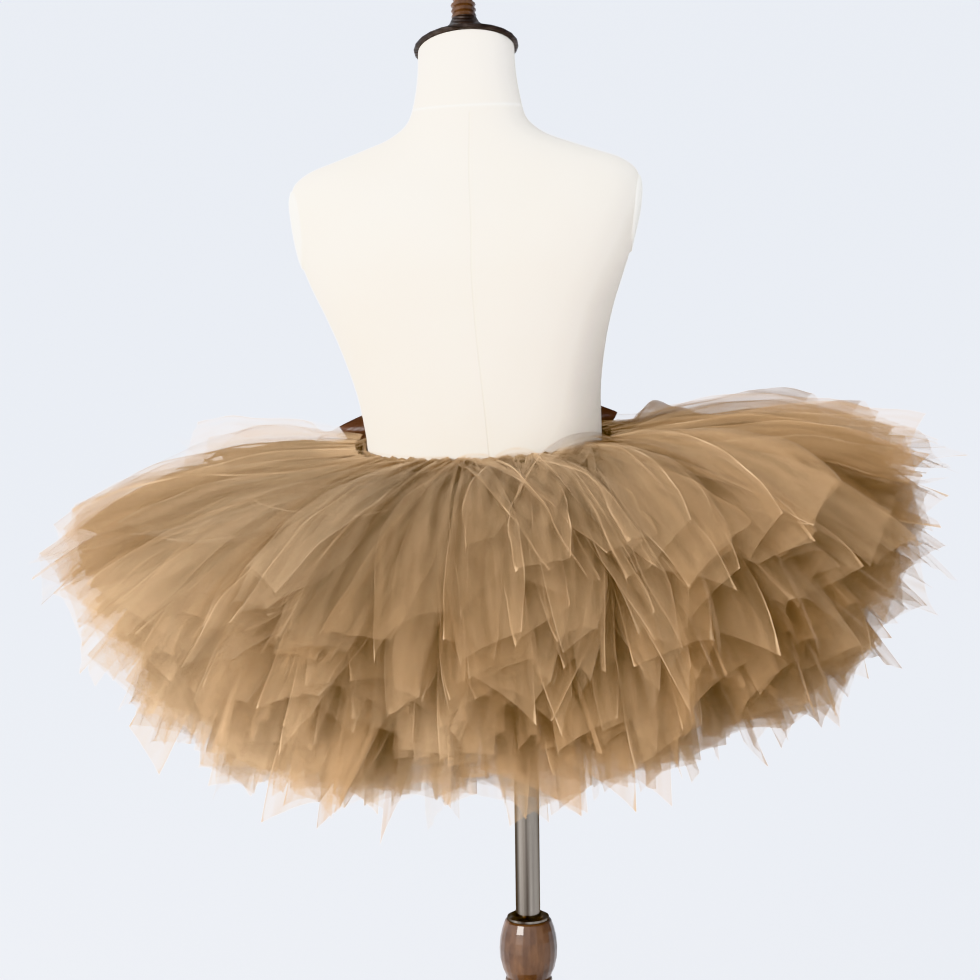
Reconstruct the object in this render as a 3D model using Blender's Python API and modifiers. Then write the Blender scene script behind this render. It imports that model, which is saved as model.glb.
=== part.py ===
"""A child's ballet tutu of knotted tulle strips, worn by a limbless dress form on a stand. Metres, +Z up.

The origin is on the floor, on the pole's axis. The back of the garment faces -Y, and its bow is at +Y.
The form leans a little and stands a little to one side of its pole, so one empty places all that is on it.
"""

import math
from collections import namedtuple

import bmesh
import bpy
from mathutils import Matrix, Vector

GAP = 0.0003  # between pieces that touch

# The stand
WAIST_HEIGHT = 0.680
FORM_OFFSET = -0.031  # of the waist's centre from the pole's axis, along X
FORM_LEAN = math.radians(1.8)  # the neck leans towards -X
POLE_RADIUS = 0.0105
BARREL_TOP = 0.271
BARREL_BOTTOM = 0.208
COLUMN_RADIUS = 0.0125
BASE_RADIUS = 0.145
BASE_HEIGHT = 0.026
COLLAR_HEIGHT = 0.004
COLLAR_RADIUS = 0.0178
SOCKET_RADIUS = 0.016
SOCKET_HEIGHT = 0.022
ROUND_STEPS = 24

# The form, measured from the centre of its waist
Section = namedtuple("Section", "height half_width back front aside forward tilt squareness")
SECTIONS = (
    Section(-0.165, 0.096, 0.081, 0.074, 0, 0, 0, 2.2),
    Section(-0.160, 0.107, 0.091, 0.082, 0, 0, 0, 2.2),
    Section(-0.145, 0.1135, 0.097, 0.086, 0, 0, 0, 2.2),
    Section(-0.110, 0.1155, 0.098, 0.088, 0, 0, 0, 2.2),
    Section(-0.070, 0.109, 0.091, 0.086, 0, 0, 0, 2.2),
    Section(-0.030, 0.0995, 0.081, 0.082, 0, 0, 0, 2.2),
    Section(0.000, 0.0965, 0.078, 0.080, 0, 0, 0, 2.2),
    Section(0.037, 0.099, 0.080, 0.083, -0.0020, 0, 0, 2.2),
    Section(0.079, 0.1075, 0.084, 0.088, -0.0050, 0, 0, 2.2),
    Section(0.111, 0.1175, 0.088, 0.091, -0.0070, 0, 0, 2.2),
    Section(0.138, 0.128, 0.090, 0.092, -0.0080, 0, 0, 2.2),
    Section(0.159, 0.135, 0.090, 0.090, -0.0080, 0, 0, 2.2),
    Section(0.188, 0.141, 0.084, 0.078, -0.0065, 0, 0, 2.2),
    Section(0.204, 0.1425, 0.076, 0.066, -0.0060, 0, 0, 2.1),
    Section(0.217, 0.140, 0.066, 0.056, -0.0055, 0, 0, 2.0),
    Section(0.228, 0.128, 0.058, 0.050, -0.0050, 0.001, 0, 1.9),
    Section(0.236, 0.107, 0.053, 0.047, -0.0045, 0.001, 0, 1.85),
    Section(0.244, 0.084, 0.049, 0.046, -0.0040, 0.002, 0, 1.9),
    Section(0.253, 0.062, 0.046, 0.045, -0.0030, 0.003, 2, 2.0),
    Section(0.266, 0.0475, 0.043, 0.043, -0.0020, 0.004, 5, 2.0),
    Section(0.284, 0.0425, 0.042, 0.042, -0.0010, 0.005, 9, 2.0),
    Section(0.302, 0.0398, 0.040, 0.040, -0.0005, 0.007, 18, 2.0),
    Section(0.3205, 0.0388, 0.0385, 0.0385, 0, 0.009, 28, 2.0),
)
FORM_STEPS = 32
WAIST = SECTIONS[6]
NECK = SECTIONS[-1]

# The flat oval plates where arms would be
PLATE_CENTRE = (0.138, -0.004, 0.183)
PLATE_ASIDE = -0.0065
PLATE_HALF_DEPTH = 0.026
PLATE_HALF_HEIGHT = 0.0315
PLATE_THICKNESS = 0.003
POCKET_REACH = 0.030
PLATE_SLANT = math.radians(9.5)  # its foot is nearer the middle

# The waistband: an elastic that the strips' loops cover
BAND_INNER = 0.0005  # clear of the form
BAND_THICKNESS = 0.0038
BAND_TOP = 0.001
BAND_HEIGHT = 0.014
BAND_LOOPS = 30
BAND_LOOP_BULGE = 0.0008

# The tulle: tiers of strips, each a wavy wall that leaves the band at its own place and slope
Tier = namedtuple("Tier", "name seat slope_at_band slope_at_hem length wave_height turn")
TIERS = (
    Tier("tulle_tier_1", 35, 3, -20, 0.262, 0.0145, 0.0),
    Tier("tulle_tier_2", 15, -9, -31, 0.262, 0.0150, 1.9),
    Tier("tulle_tier_3", -5, -20, -42, 0.260, 0.0155, 0.8),
    Tier("tulle_tier_4", -25, -30, -53, 0.262, 0.0155, 2.7),
    Tier("tulle_tier_5", -45, -39, -63, 0.260, 0.0150, 1.3),
    Tier("tulle_tier_6", -65, -47, -74, 0.258, 0.0140, 2.2),
)
TULLE_THICKNESS = 0.0012
WAVES = 24  # in each tier
STEPS_IN_WAVE = 4
SPAN_ENDS = (0, 0.13, 0.35, 0.66, 1)  # shares of the length, from the band to the hem
SEAT_RADIUS = 0.0095  # of the tiers' roots, round the middle of the band
ROOT_WAVE = 0.0007
HEM_RAGGED = 0.011  # crests reach this much further than troughs
LIFT_RIGHT = 3.0  # degrees that each tier rises on the right, and falls on the left
LIFT_FRONT = 2.5  # degrees that it rises at the front, and falls at the back
SHORTER_RIGHT = 0.02  # share of the length lost on the right, and gained on the left
DENT_MIDDLE = 0.014  # how far the bow presses the tulle down at its knot
DENT_TIPS = 0.027  # and at its tips
DENT_SOFT = 0.035  # width of the dent's slopes

# The satin bow
RIBBON_WIDTH = 0.025
RIBBON_THICKNESS = 0.001
BOW_Y = 0.0955
BOW_Z = 0.0020
KNOT_SIZE = (0.017, 0.014, 0.021)
LOOP_REACH = 0.119
LOOP_FROM_KNOT = 0.0012
LOOP_DEPTH = 0.011  # half of the loop's gap, front to back
LOOP_NECK = 0.0032  # the same half gap beside the knot
LOOP_ARCH = 0.008  # the loops rise beside the knot
LOOP_DROOP = 0.008  # and hang at their ends
LOOP_STEPS = 24
LOOP_SLANT = 0.62  # the outer fold leans: its top reaches further than its foot


def clear_scene():
    for obj in list(bpy.data.objects):
        bpy.data.objects.remove(obj)


def new_collection(name, hidden=False):
    collection = bpy.data.collections.new(name)
    bpy.context.scene.collection.children.link(collection)
    collection.hide_render = hidden
    return collection


def new_material(name, colour, roughness, metallic=0.0):
    material = bpy.data.materials.new(name)
    material.use_nodes = True
    shader = material.node_tree.nodes["Principled BSDF"]
    shader.inputs["Base Color"].default_value = (*colour, 1)
    shader.inputs["Roughness"].default_value = roughness
    shader.inputs["Metallic"].default_value = metallic
    material.diffuse_color = (*colour, 1)
    return material


def new_object(name, mesh, material, collection, parent=None):
    obj = bpy.data.objects.new(name, mesh)
    collection.objects.link(obj)
    obj.parent = parent
    if material:
        mesh.materials.append(material)
    return obj


def mesh_of(shape, name):
    mesh = bpy.data.meshes.new(name)
    shape.to_mesh(mesh)
    shape.free()
    return mesh


def shade_smooth(obj, angle=40):
    obj.data.shade_smooth()
    obj.data.set_sharp_from_angle(angle=math.radians(angle))


def bridged(rings, closed_ends=True, cyclic=False):
    """A mesh that joins rings of equal counts. Its ends are capped, or the last ring meets the first."""
    shape = bmesh.new()
    rows = [[shape.verts.new(point) for point in ring] for ring in rings]
    pairs = list(zip(rows, rows[1:] + rows[:1])) if cyclic else list(zip(rows, rows[1:]))
    for lower, upper in pairs:
        for i, start in enumerate(lower):
            j = (i + 1) % len(lower)
            shape.faces.new((start, lower[j], upper[j], upper[i]))
    if closed_ends and not cyclic:
        shape.faces.new(reversed(rows[0]))
        shape.faces.new(rows[-1])
    bmesh.ops.recalc_face_normals(shape, faces=shape.faces)
    return mesh_of(shape, "bridged")


def turned(name, profile, material, collection, parent=None, steps=ROUND_STEPS):
    """A turned solid. The profile's (radius, height) pairs run from its top to its foot, both on the axis."""
    shape = bmesh.new()
    points = [shape.verts.new((radius, 0, height)) for radius, height in profile]
    for start, end in zip(points, points[1:]):
        shape.edges.new((start, end))
    obj = new_object(name, mesh_of(shape, name), material, collection, parent)
    screw = obj.modifiers.new("Turn", "SCREW")
    screw.steps = screw.render_steps = steps
    screw.use_merge_vertices = True
    screw.merge_threshold = 0.00005
    screw.use_smooth_shade = True
    return obj


def thicken(obj, thickness):
    wall = obj.modifiers.new("Wall", "SOLIDIFY")
    wall.thickness = thickness
    wall.offset = 0
    obj.data.shade_smooth()


def arc(centre, radius, start, end, count):
    """(radius, height) pairs on an arc of a profile, between two angles in degrees."""
    angles = [math.radians(start + (end - start) * i / (count - 1)) for i in range(count)]
    return [(centre[0] + radius * math.cos(a), centre[1] + radius * math.sin(a)) for a in angles]


# ---- the form ----


def oval_of(section, angle):
    """A point (x, y) of the section's superellipse, whose back and front halves have their own depths."""
    c, s = math.cos(angle), math.sin(angle)
    power = 2 / section.squareness
    depth = section.front if s > 0 else section.back
    return math.copysign(abs(c) ** power, c) * section.half_width, math.copysign(abs(s) ** power, s) * depth


def section_ring(section):
    turn = Matrix.Rotation(-math.radians(section.tilt), 3, "X")
    centre = Vector((section.aside, section.forward, section.height))
    ring = []
    for i in range(FORM_STEPS):
        x, y = oval_of(section, math.tau * i / FORM_STEPS)
        ring.append(centre + turn @ Vector((x, y, 0)))
    return ring


def plate_turn(side):
    """The rotation that stands a flat oval up against the form's side, its face outwards."""
    return Matrix.Rotation(side * (math.pi / 2 + PLATE_SLANT), 4, "Y")


def oval_disc(half_length, half_width, thickness):
    shape = bmesh.new()
    bmesh.ops.create_cone(shape, cap_ends=True, segments=24, radius1=1, radius2=1, depth=thickness)
    bmesh.ops.scale(shape, vec=(half_length, half_width, 1), verts=shape.verts)
    return mesh_of(shape, "disc")


def make_form(material, collection, cutters, parent):
    rings = [section_ring(section) for section in SECTIONS]
    torso = new_object("form_torso", bridged(rings), material, collection, parent)
    shade_smooth(torso)
    for side, word in ((-1, "left"), (1, "right")):
        centre = Vector((side * PLATE_CENTRE[0] + PLATE_ASIDE, PLATE_CENTRE[1], PLATE_CENTRE[2]))
        turn = plate_turn(side)
        outwards = turn.to_3x3() @ Vector((0, 0, 1))
        pocket = oval_disc(PLATE_HALF_HEIGHT + GAP, PLATE_HALF_DEPTH + GAP, POCKET_REACH)
        cutter = new_object("plate_cutter_" + word, pocket, None, cutters, parent)
        inner = POCKET_REACH / 2 - PLATE_THICKNESS - GAP
        cutter.matrix_local = Matrix.Translation(centre + outwards * inner) @ turn
        cutter.hide_render = True
        cutter.display_type = "WIRE"
        cut = torso.modifiers.new("Plate " + word, "BOOLEAN")
        cut.object = cutter

        disc = oval_disc(PLATE_HALF_HEIGHT, PLATE_HALF_DEPTH, PLATE_THICKNESS)
        plate = new_object("arm_plate_" + word, disc, material, collection, parent)
        plate.matrix_local = Matrix.Translation(centre - outwards * PLATE_THICKNESS / 2) @ turn
        shade_smooth(plate)


def make_neck_cap(bronze, wood, collection, parent):
    """The bronze cap on the slanting top of the neck, and the turned finial on it."""
    seat = bpy.data.objects.new("neck_seat", None)
    collection.objects.link(seat)
    seat.parent = parent
    seat.location = (0, NECK.forward, NECK.height)
    seat.rotation_euler = (-math.radians(NECK.tilt), 0, 0)

    rim, stem, top = 0.0425, 0.0105, 0.0275
    cap = [(0, top), (stem, top), (0.0128, 0.0225), (0.0170, 0.0180), (0.0230, 0.0135)]
    cap += [(0.0300, 0.0095), (0.0375, 0.0060), (rim - 0.0010, 0.0042), (rim, 0.0030), (rim, 0.0014)]
    cap += [(rim - 0.0012, GAP), (0, GAP)]
    turned("neck_cap", cap, bronze, collection, seat)

    foot, knob_radius = top + GAP, 0.0120
    knob_centre = foot + 0.0265
    finial = arc((0, knob_centre), knob_radius, 90, -50, 7)
    for bead in (0.0125, 0.0075, 0.0025):
        finial += [(0.0082, foot + bead + 0.0024), (0.0104, foot + bead), (0.0090, foot + bead - 0.0021)]
    finial += [(0.0090, foot), (0, foot)]
    finial[0] = (0, knob_centre + knob_radius)
    turned("finial", finial, wood, collection, seat, steps=16)


# ---- the stand ----


def make_base(material, collection):
    low_edge = BASE_HEIGHT - 0.013
    profile = [(0, BASE_HEIGHT), (0.030, BASE_HEIGHT), (0.034, BASE_HEIGHT - 0.004)]
    profile += [(0.060, BASE_HEIGHT - 0.008), (BASE_RADIUS - 0.016, low_edge)]
    profile += arc((BASE_RADIUS - 0.006, 0.0065), 0.006, 70, -40, 5)
    profile += [(BASE_RADIUS - 0.003, 0), (0, 0)]
    turned("base", profile, material, collection, steps=32)


def make_grip(wood, steel, collection):
    """The turned grip, which swells like a barrel over a bead and a foot, and the steel collar on it."""
    top, low = BARREL_TOP, BARREL_BOTTOM
    profile = [(0, top), (0.0185, top), (0.0198, top - 0.0012), (0.0222, top - 0.008), (0.0240, top - 0.016)]
    profile += [(0.0248, top - 0.025), (0.0243, top - 0.034), (0.0222, top - 0.043), (0.0192, top - 0.050)]
    profile += [(0.0178, low + 0.0115), (0.0198, low + 0.0105), (0.0204, low + 0.0080)]
    profile += [(0.0198, low + 0.0055), (0.0172, low + 0.0045), (0.0160, low + 0.0020)]
    profile += [(0.0160, low), (0, low)]
    turned("grip_barrel", profile, wood, collection)

    inner, outer = POLE_RADIUS + GAP, COLLAR_RADIUS
    foot, head = top + GAP, top + GAP + COLLAR_HEIGHT
    profile = [(inner, head), (outer - 0.004, head), (outer, head - 0.002), (outer, foot), (inner, foot)]
    turned("grip_collar", profile + profile[:1], steel, collection)


def make_pole(steel, collection, form):
    """The socket under the form, the pole from it down to the grip, and the column below the grip."""
    bottom = SECTIONS[0].height
    middle = form.matrix_basis @ Vector((0, 0, bottom))
    across = -middle.x / math.cos(FORM_LEAN)  # from the form's own middle to the pole, on its underside
    flange = SOCKET_RADIUS + 0.010
    profile = [(0, 0), (flange, 0), (flange, -0.003), (SOCKET_RADIUS, -0.003)]
    profile += [(SOCKET_RADIUS, -SOCKET_HEIGHT), (0, -SOCKET_HEIGHT)]
    socket = turned("form_socket", profile, steel, collection, form)
    socket.location = (across, 0, bottom - GAP)

    meeting = form.matrix_basis @ Vector((across, 0, bottom - GAP - SOCKET_HEIGHT))
    pole_top = meeting.z - POLE_RADIUS * math.sin(FORM_LEAN) - GAP
    rods = (
        ("pole", POLE_RADIUS, pole_top, BARREL_TOP + GAP),
        ("lower_column", COLUMN_RADIUS, BARREL_BOTTOM - GAP, BASE_HEIGHT + GAP),
    )
    for name, radius, head, foot in rods:
        turned(name, [(0, head), (radius, head), (radius, foot), (0, foot)], steel, collection)


# ---- the tutu ----


def form_point(angle, height):
    """The point of the form's surface at this angle and height."""
    for lower, upper in zip(SECTIONS, SECTIONS[1:]):
        if lower.height <= height <= upper.height:
            share = (height - lower.height) / (upper.height - lower.height)
            low = Vector((*oval_of(lower, angle), lower.height)) + Vector((lower.aside, 0, 0))
            high = Vector((*oval_of(upper, angle), upper.height)) + Vector((upper.aside, 0, 0))
            return low.lerp(high, share)
    raise ValueError("no section at this height")


def outwards_at(angle):
    """The level direction that leaves the form's waist squarely."""
    ahead, behind = form_point(angle + 0.001, 0), form_point(angle - 0.001, 0)
    return Vector((ahead.y - behind.y, behind.x - ahead.x, 0)).normalized()


def off_form(angle, outwards, height):
    """A point this far outside the form's surface at this height."""
    return form_point(angle, height) + outwards_at(angle) * outwards


def off_waist(angle, outwards, height):
    """A point this far outside the form's waist line, and this high above it."""
    return form_point(angle, 0) + outwards_at(angle) * outwards + Vector((0, 0, height))


def make_waistband(material, collection, parent):
    rings = []
    steps = BAND_LOOPS * 2
    middle = BAND_TOP - BAND_HEIGHT / 2
    for i in range(steps):
        angle = math.tau * i / steps
        bulge = BAND_LOOP_BULGE * (1 if i % 2 else -1)
        outer = BAND_INNER + BAND_THICKNESS + bulge
        half = BAND_HEIGHT / 2 + bulge * 0.5
        rings.append([
            off_form(angle, BAND_INNER, middle - half),
            off_form(angle, outer - 0.0012, middle - half),
            off_form(angle, outer, middle),
            off_form(angle, outer - 0.0012, middle + half),
            off_form(angle, BAND_INNER, middle + half),
        ])
    band = new_object("waistband", bridged(rings, cyclic=True), material, collection, parent)
    shade_smooth(band)


def fading(distance, half, soft):
    """1 within half of the middle, and 0 further off than half and soft."""
    share = min(1, max(0, (abs(distance) - half) / soft))
    return 1 - share * share * (3 - 2 * share)


def dent_at(point):
    """How far the bow presses the tulle down here. It is the same for every tier, so none cross."""
    share = min(1, abs(point.x) / LOOP_REACH)
    depth = DENT_MIDDLE + (DENT_TIPS - DENT_MIDDLE) * share
    across = fading(point.y - BOW_Y, LOOP_DEPTH + 0.006, DENT_SOFT)
    return depth * across * fading(point.x, LOOP_REACH, DENT_SOFT)


def tier_ring(tier, share):
    """A tier's ring of points, at this share of the way from the band to the hem."""
    ring = []
    steps = WAVES * STEPS_IN_WAVE
    seat = math.radians(tier.seat)
    for i in range(steps):
        even = math.tau * i / steps
        angle = even + 0.035 * math.sin(3 * even + tier.turn) + 0.022 * math.sin(5 * even + 2 * tier.turn)
        wave = math.sin(WAVES * even)
        height = tier.wave_height * (0.8 + 0.2 * math.sin(4 * even + tier.turn))
        length = tier.length * (1 - SHORTER_RIGHT * math.cos(angle))
        length += HEM_RAGGED / 2 * wave + 0.004 * math.sin(7 * even + tier.turn)
        lift = LIFT_RIGHT * math.cos(angle) + LIFT_FRONT * math.sin(angle)
        start = math.radians(tier.slope_at_band + lift)
        end = math.radians(tier.slope_at_hem + lift)
        out = BAND_INNER + BAND_THICKNESS / 2 + SEAT_RADIUS * math.cos(seat)
        up = BAND_TOP - BAND_HEIGHT / 2 + SEAT_RADIUS * math.sin(seat)
        # The slope turns evenly along the strip, so the strip is an arc of a circle.
        slope = start + (end - start) * share
        bend = (end - start) / length
        out += (math.sin(slope) - math.sin(start)) / bend
        up += (math.cos(start) - math.cos(slope)) / bend
        offset = wave * (ROOT_WAVE + (height - ROOT_WAVE) * share**1.15)
        point = off_waist(angle, out - offset * math.sin(slope), up + offset * math.cos(slope))
        point.z -= dent_at(point)
        ring.append(point)
    return ring


def make_tulle(material, collection, parent):
    for tier in TIERS:
        rings = [tier_ring(tier, share) for share in SPAN_ENDS]
        obj = new_object(tier.name, bridged(rings, closed_ends=False), material, collection, parent)
        thicken(obj, TULLE_THICKNESS)


def make_knot(material, collection, parent):
    bpy.ops.mesh.primitive_cube_add(size=1)
    knot = bpy.context.active_object
    knot.name = "bow_knot"
    for holder in list(knot.users_collection):
        holder.objects.unlink(knot)
    collection.objects.link(knot)
    knot.data.transform(Matrix.Diagonal((*KNOT_SIZE, 1)))
    knot.data.materials.append(material)
    knot.parent = parent
    knot.location = (0, BOW_Y, BOW_Z)
    rounding = knot.modifiers.new("Rounding", "BEVEL")
    rounding.width = 0.005
    rounding.segments = 3


def loop_edges(side, turn_share):
    """The two edge points of a bow's loop, at this share of the way round it from the knot.

    From above, the loop is a teardrop: a point at the knot, and a round fold at its outer end.
    """
    angle = math.tau * turn_share
    along = (1 - math.cos(angle)) / 2
    swell = math.sin(math.pi * along**0.75 * 0.62)
    half = RIBBON_WIDTH / 2 * (0.55 + 0.45 * min(1, along * 2.2))
    near = KNOT_SIZE[0] / 2 + LOOP_FROM_KNOT
    y = BOW_Y + (LOOP_NECK + (LOOP_DEPTH - LOOP_NECK) * swell) * math.sin(angle)
    middle = BOW_Z + LOOP_ARCH * math.sin(math.pi * along) - LOOP_DROOP * along**2
    slant = LOOP_SLANT * max(0, along - 0.5) * 2
    edges = []
    for edge in (-1, 1):
        reach = near + along * (LOOP_REACH - near) + (edge - 1) * half * slant
        edges.append((side * reach, y, middle + edge * half))
    return edges


def make_bow_loops(material, collection, parent):
    for side, word in ((-1, "left"), (1, "right")):
        shape = bmesh.new()
        rows = []
        for i in range(LOOP_STEPS):
            rows.append([shape.verts.new(point) for point in loop_edges(side, i / LOOP_STEPS)])
        for row, after in zip(rows, rows[1:] + rows[:1]):
            shape.faces.new((row[0], after[0], after[1], row[1]))
        bmesh.ops.recalc_face_normals(shape, faces=shape.faces)
        loop = new_object("bow_loop_" + word, mesh_of(shape, "loop"), material, collection, parent)
        thicken(loop, RIBBON_THICKNESS)


def main():
    clear_scene()
    parts = new_collection("Ballet tutu on dress form")
    cutters = new_collection("Cutters", hidden=True)
    linen = new_material("form_fabric", (0.89, 0.84, 0.76), 0.85)
    tulle = new_material("tulle", (0.42, 0.29, 0.15), 0.9)
    elastic = new_material("waistband", (0.30, 0.21, 0.12), 0.9)
    satin = new_material("ribbon", (0.16, 0.07, 0.035), 0.3)
    bronze = new_material("bronze", (0.09, 0.055, 0.04), 0.35, 0.9)
    wood = new_material("wood", (0.12, 0.05, 0.025), 0.3)
    steel = new_material("steel", (0.42, 0.38, 0.33), 0.3, 1.0)

    form = bpy.data.objects.new("form_frame", None)
    parts.objects.link(form)
    form.location = (FORM_OFFSET, 0, WAIST_HEIGHT)
    form.rotation_euler = (0, -FORM_LEAN, 0)
    bpy.context.view_layer.update()

    make_base(wood, parts)
    make_grip(wood, steel, parts)
    make_pole(steel, parts, form)
    make_form(linen, parts, cutters, form)
    make_neck_cap(bronze, wood, parts, form)
    make_waistband(elastic, parts, form)
    make_tulle(tulle, parts, form)
    make_knot(satin, parts, form)
    make_bow_loops(satin, parts, form)


main()
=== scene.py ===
"""A ballet tutu of tulle strips tied on a waistband, on a limbless dress form with a stand.

Metres, +Z up, the origin on the floor at the pole's axis. The tutu's back faces -Y, towards the camera.
"""

import math
from collections import namedtuple

import bmesh
import bpy
import numpy as np
from mathutils import Matrix, Vector
from mathutils.bvhtree import BVHTree

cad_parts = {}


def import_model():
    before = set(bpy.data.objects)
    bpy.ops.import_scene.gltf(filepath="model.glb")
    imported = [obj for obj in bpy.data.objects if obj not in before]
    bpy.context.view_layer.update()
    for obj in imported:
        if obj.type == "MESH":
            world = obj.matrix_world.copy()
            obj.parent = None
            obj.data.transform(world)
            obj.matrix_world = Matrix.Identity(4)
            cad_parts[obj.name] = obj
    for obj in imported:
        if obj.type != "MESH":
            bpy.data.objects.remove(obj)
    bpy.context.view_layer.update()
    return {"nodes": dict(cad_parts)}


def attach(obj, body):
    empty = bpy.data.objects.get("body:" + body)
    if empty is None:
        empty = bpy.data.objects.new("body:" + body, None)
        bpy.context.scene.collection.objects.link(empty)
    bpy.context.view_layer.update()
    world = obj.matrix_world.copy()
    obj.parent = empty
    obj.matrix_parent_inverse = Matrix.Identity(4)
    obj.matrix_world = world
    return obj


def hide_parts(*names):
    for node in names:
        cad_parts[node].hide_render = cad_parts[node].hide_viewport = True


# ---- sizes that the solids share ----

WAIST_HEIGHT = 0.680
FORM_OFFSET = -0.031
FORM_LEAN = math.radians(1.8)
FORM_FRAME = Matrix.Translation((FORM_OFFSET, 0, WAIST_HEIGHT)) @ Matrix.Rotation(-FORM_LEAN, 4, "Y")

Section = namedtuple("Section", "height half_width back front aside forward tilt squareness")
SECTIONS = [Section(*row) for row in (
    (-0.165, 0.096, 0.081, 0.074, 0, 0, 0, 2.2),
    (-0.16, 0.107, 0.091, 0.082, 0, 0, 0, 2.2),
    (-0.145, 0.1135, 0.097, 0.086, 0, 0, 0, 2.2),
    (-0.11, 0.1155, 0.098, 0.088, 0, 0, 0, 2.2),
    (-0.07, 0.109, 0.091, 0.086, 0, 0, 0, 2.2),
    (-0.03, 0.0995, 0.081, 0.082, 0, 0, 0, 2.2),
    (0.0, 0.0965, 0.078, 0.08, 0, 0, 0, 2.2),
    (0.037, 0.099, 0.08, 0.083, -0.002, 0, 0, 2.2),
    (0.079, 0.1075, 0.084, 0.088, -0.005, 0, 0, 2.2),
    (0.111, 0.1175, 0.088, 0.091, -0.007, 0, 0, 2.2),
    (0.138, 0.128, 0.09, 0.092, -0.008, 0, 0, 2.2),
    (0.159, 0.135, 0.09, 0.09, -0.008, 0, 0, 2.2),
    (0.188, 0.141, 0.084, 0.078, -0.0065, 0, 0, 2.2),
    (0.204, 0.1425, 0.076, 0.066, -0.006, 0, 0, 2.1),
    (0.217, 0.14, 0.066, 0.056, -0.0055, 0, 0, 2.0),
    (0.228, 0.128, 0.058, 0.05, -0.005, 0.001, 0, 1.9),
    (0.236, 0.107, 0.053, 0.047, -0.0045, 0.001, 0, 1.85),
    (0.244, 0.084, 0.049, 0.046, -0.004, 0.002, 0, 1.9),
    (0.253, 0.062, 0.046, 0.045, -0.003, 0.003, 2, 2.0),
    (0.266, 0.0475, 0.043, 0.043, -0.002, 0.004, 5, 2.0),
    (0.284, 0.0425, 0.042, 0.042, -0.001, 0.005, 9, 2.0),
    (0.302, 0.0398, 0.04, 0.04, -0.0005, 0.007, 18, 2.0),
    (0.3205, 0.0388, 0.0385, 0.0385, 0, 0.009, 28, 2.0),
)]
WAIST = SECTIONS[6]

BAND_INNER = 0.0005  # from the waist
BAND_THICKNESS = 0.0038
BAND_TOP = 0.001
BAND_HEIGHT = 0.014
SEAT_RADIUS = 0.0095  # from the middle of the band's section to where a tail starts
CAP_RIM = 0.0034  # height of the neck cap's rim

# slopes in degrees, and the seat in degrees round the band's section
Tier = namedtuple("Tier", "name seat slope_at_band slope_at_hem length tails layers")
TIERS = (
    Tier("tulle_tier_1", 35, 3, -20, 0.262, 56, 1.0),
    Tier("tulle_tier_2", 15, -9, -31, 0.262, 54, 1.1),
    Tier("tulle_tier_3", -5, -20, -42, 0.260, 52, 1.2),
    Tier("tulle_tier_4", -25, -30, -53, 0.262, 54, 1.5),
    Tier("tulle_tier_5", -45, -39, -63, 0.262, 62, 1.5),
    Tier("tulle_tier_6", -65, -47, -74, 0.260, 64, 1.4),
)
LIFT_RIGHT = 3.0  # degrees that the tails stand higher at the right, and lower at the left
LIFT_FRONT = 2.5  # the same at the front, and lower at the back
SHORTER_RIGHT = 0.02  # of their length, and longer at the left

BOW_Y = 0.0955
BOW_Z = 0.0020
RIBBON_WIDTH = 0.025
KNOT_SIZE = Vector((0.017, 0.014, 0.021))
LOOP_FROM_KNOT = 0.0012
LOOP_NECK = 0.0032
LOOP_ARCH = 0.008
LOOP_DROOP = 0.010
LOOP_SLANT = 0.62
LOOP_REACH = 0.119
LOOP_DEPTH = 0.011
DENT_MIDDLE = 0.014
DENT_TIPS = 0.027
DENT_SOFT = 0.035
DENT_MARGIN = 0.006  # that the dent reaches past a loop, to the front and the back

PLATE_CENTRE = (0.138, -0.004, 0.183)
PLATE_ASIDE = -0.0065
PLATE_HALF_DEPTH = 0.026
PLATE_HALF_HEIGHT = 0.0315
PLATE_SLANT = math.radians(9.5)

# ---- the camera, and the square picture that it gives ----

CAMERA_TARGET = Vector((-0.0273, 0, 0.6406))
CAMERA_AZIMUTH = math.radians(-3)
CAMERA_ELEVATION = math.radians(10.4)
CAMERA_ROLL = math.radians(-0.8)
CAMERA_DISTANCE = 2.6
CAMERA_LENS = 115.64  # millimetres
CAMERA_SENSOR = 36
PICTURE = 980  # pixels each way

# ---- the light ----

KEY_PLACE = Vector((-1.7, -1.75, 1.15))
KEY_AIM = Vector((-0.05, 0, 0.65))
KEY_WATTS = 42
KEY_COLOUR = (1.0, 0.965, 0.92)
KEY_SIZE = 0.9
WALLS_COLOUR = (0.905, 0.94, 1.0, 1)
WALLS_BRIGHT = 2.05
WALLS_BRIGHT_SIDE = Vector((-0.74, -0.66, 0.05))
WALLS_DIM = 0.40
FLOOR_REACH = 80

# ---- the tulle strips ----

STRIP_WIDTH = 0.15  # as cut
GATHERS = 7  # small pleats at the knot
GATHERS_TURN = 1.9  # radians that the cloth turns either way in them
CREASES = (7.3, 11.9)  # how many small creases lie across it, of two sizes
KINK_LENGTH = 0.05  # of a tail, that a bend takes
CLOSES_FROM = 0.55  # of its length, where it starts to narrow again
PULLED_BACK = 0.6  # of what its sides lose by lying off its middle line
WOBBLE = 0.0016  # that the net wanders from a smooth sheet
ROWS = 23  # of points along a tail
COLS = 47  # and across it

NET_COVER = 0.215  # how much one layer of the net hides
CLOUDY_COVER = 0.018
KNOT_COVER = 0.45  # more at the knot
KNOT_SHARE = 1 / 7  # of its length, where that ends
NEAR_BAND_PALER = 0.4  # where the light falls on them from above
LINE_FADES = (0.0013, 0.0004)  # from a fold or an edge, where its pale line starts and is full
LINE_COVER = 0.60
HEM_FAINTER = 0.0011  # that a hem counts as further from its own line

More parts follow.
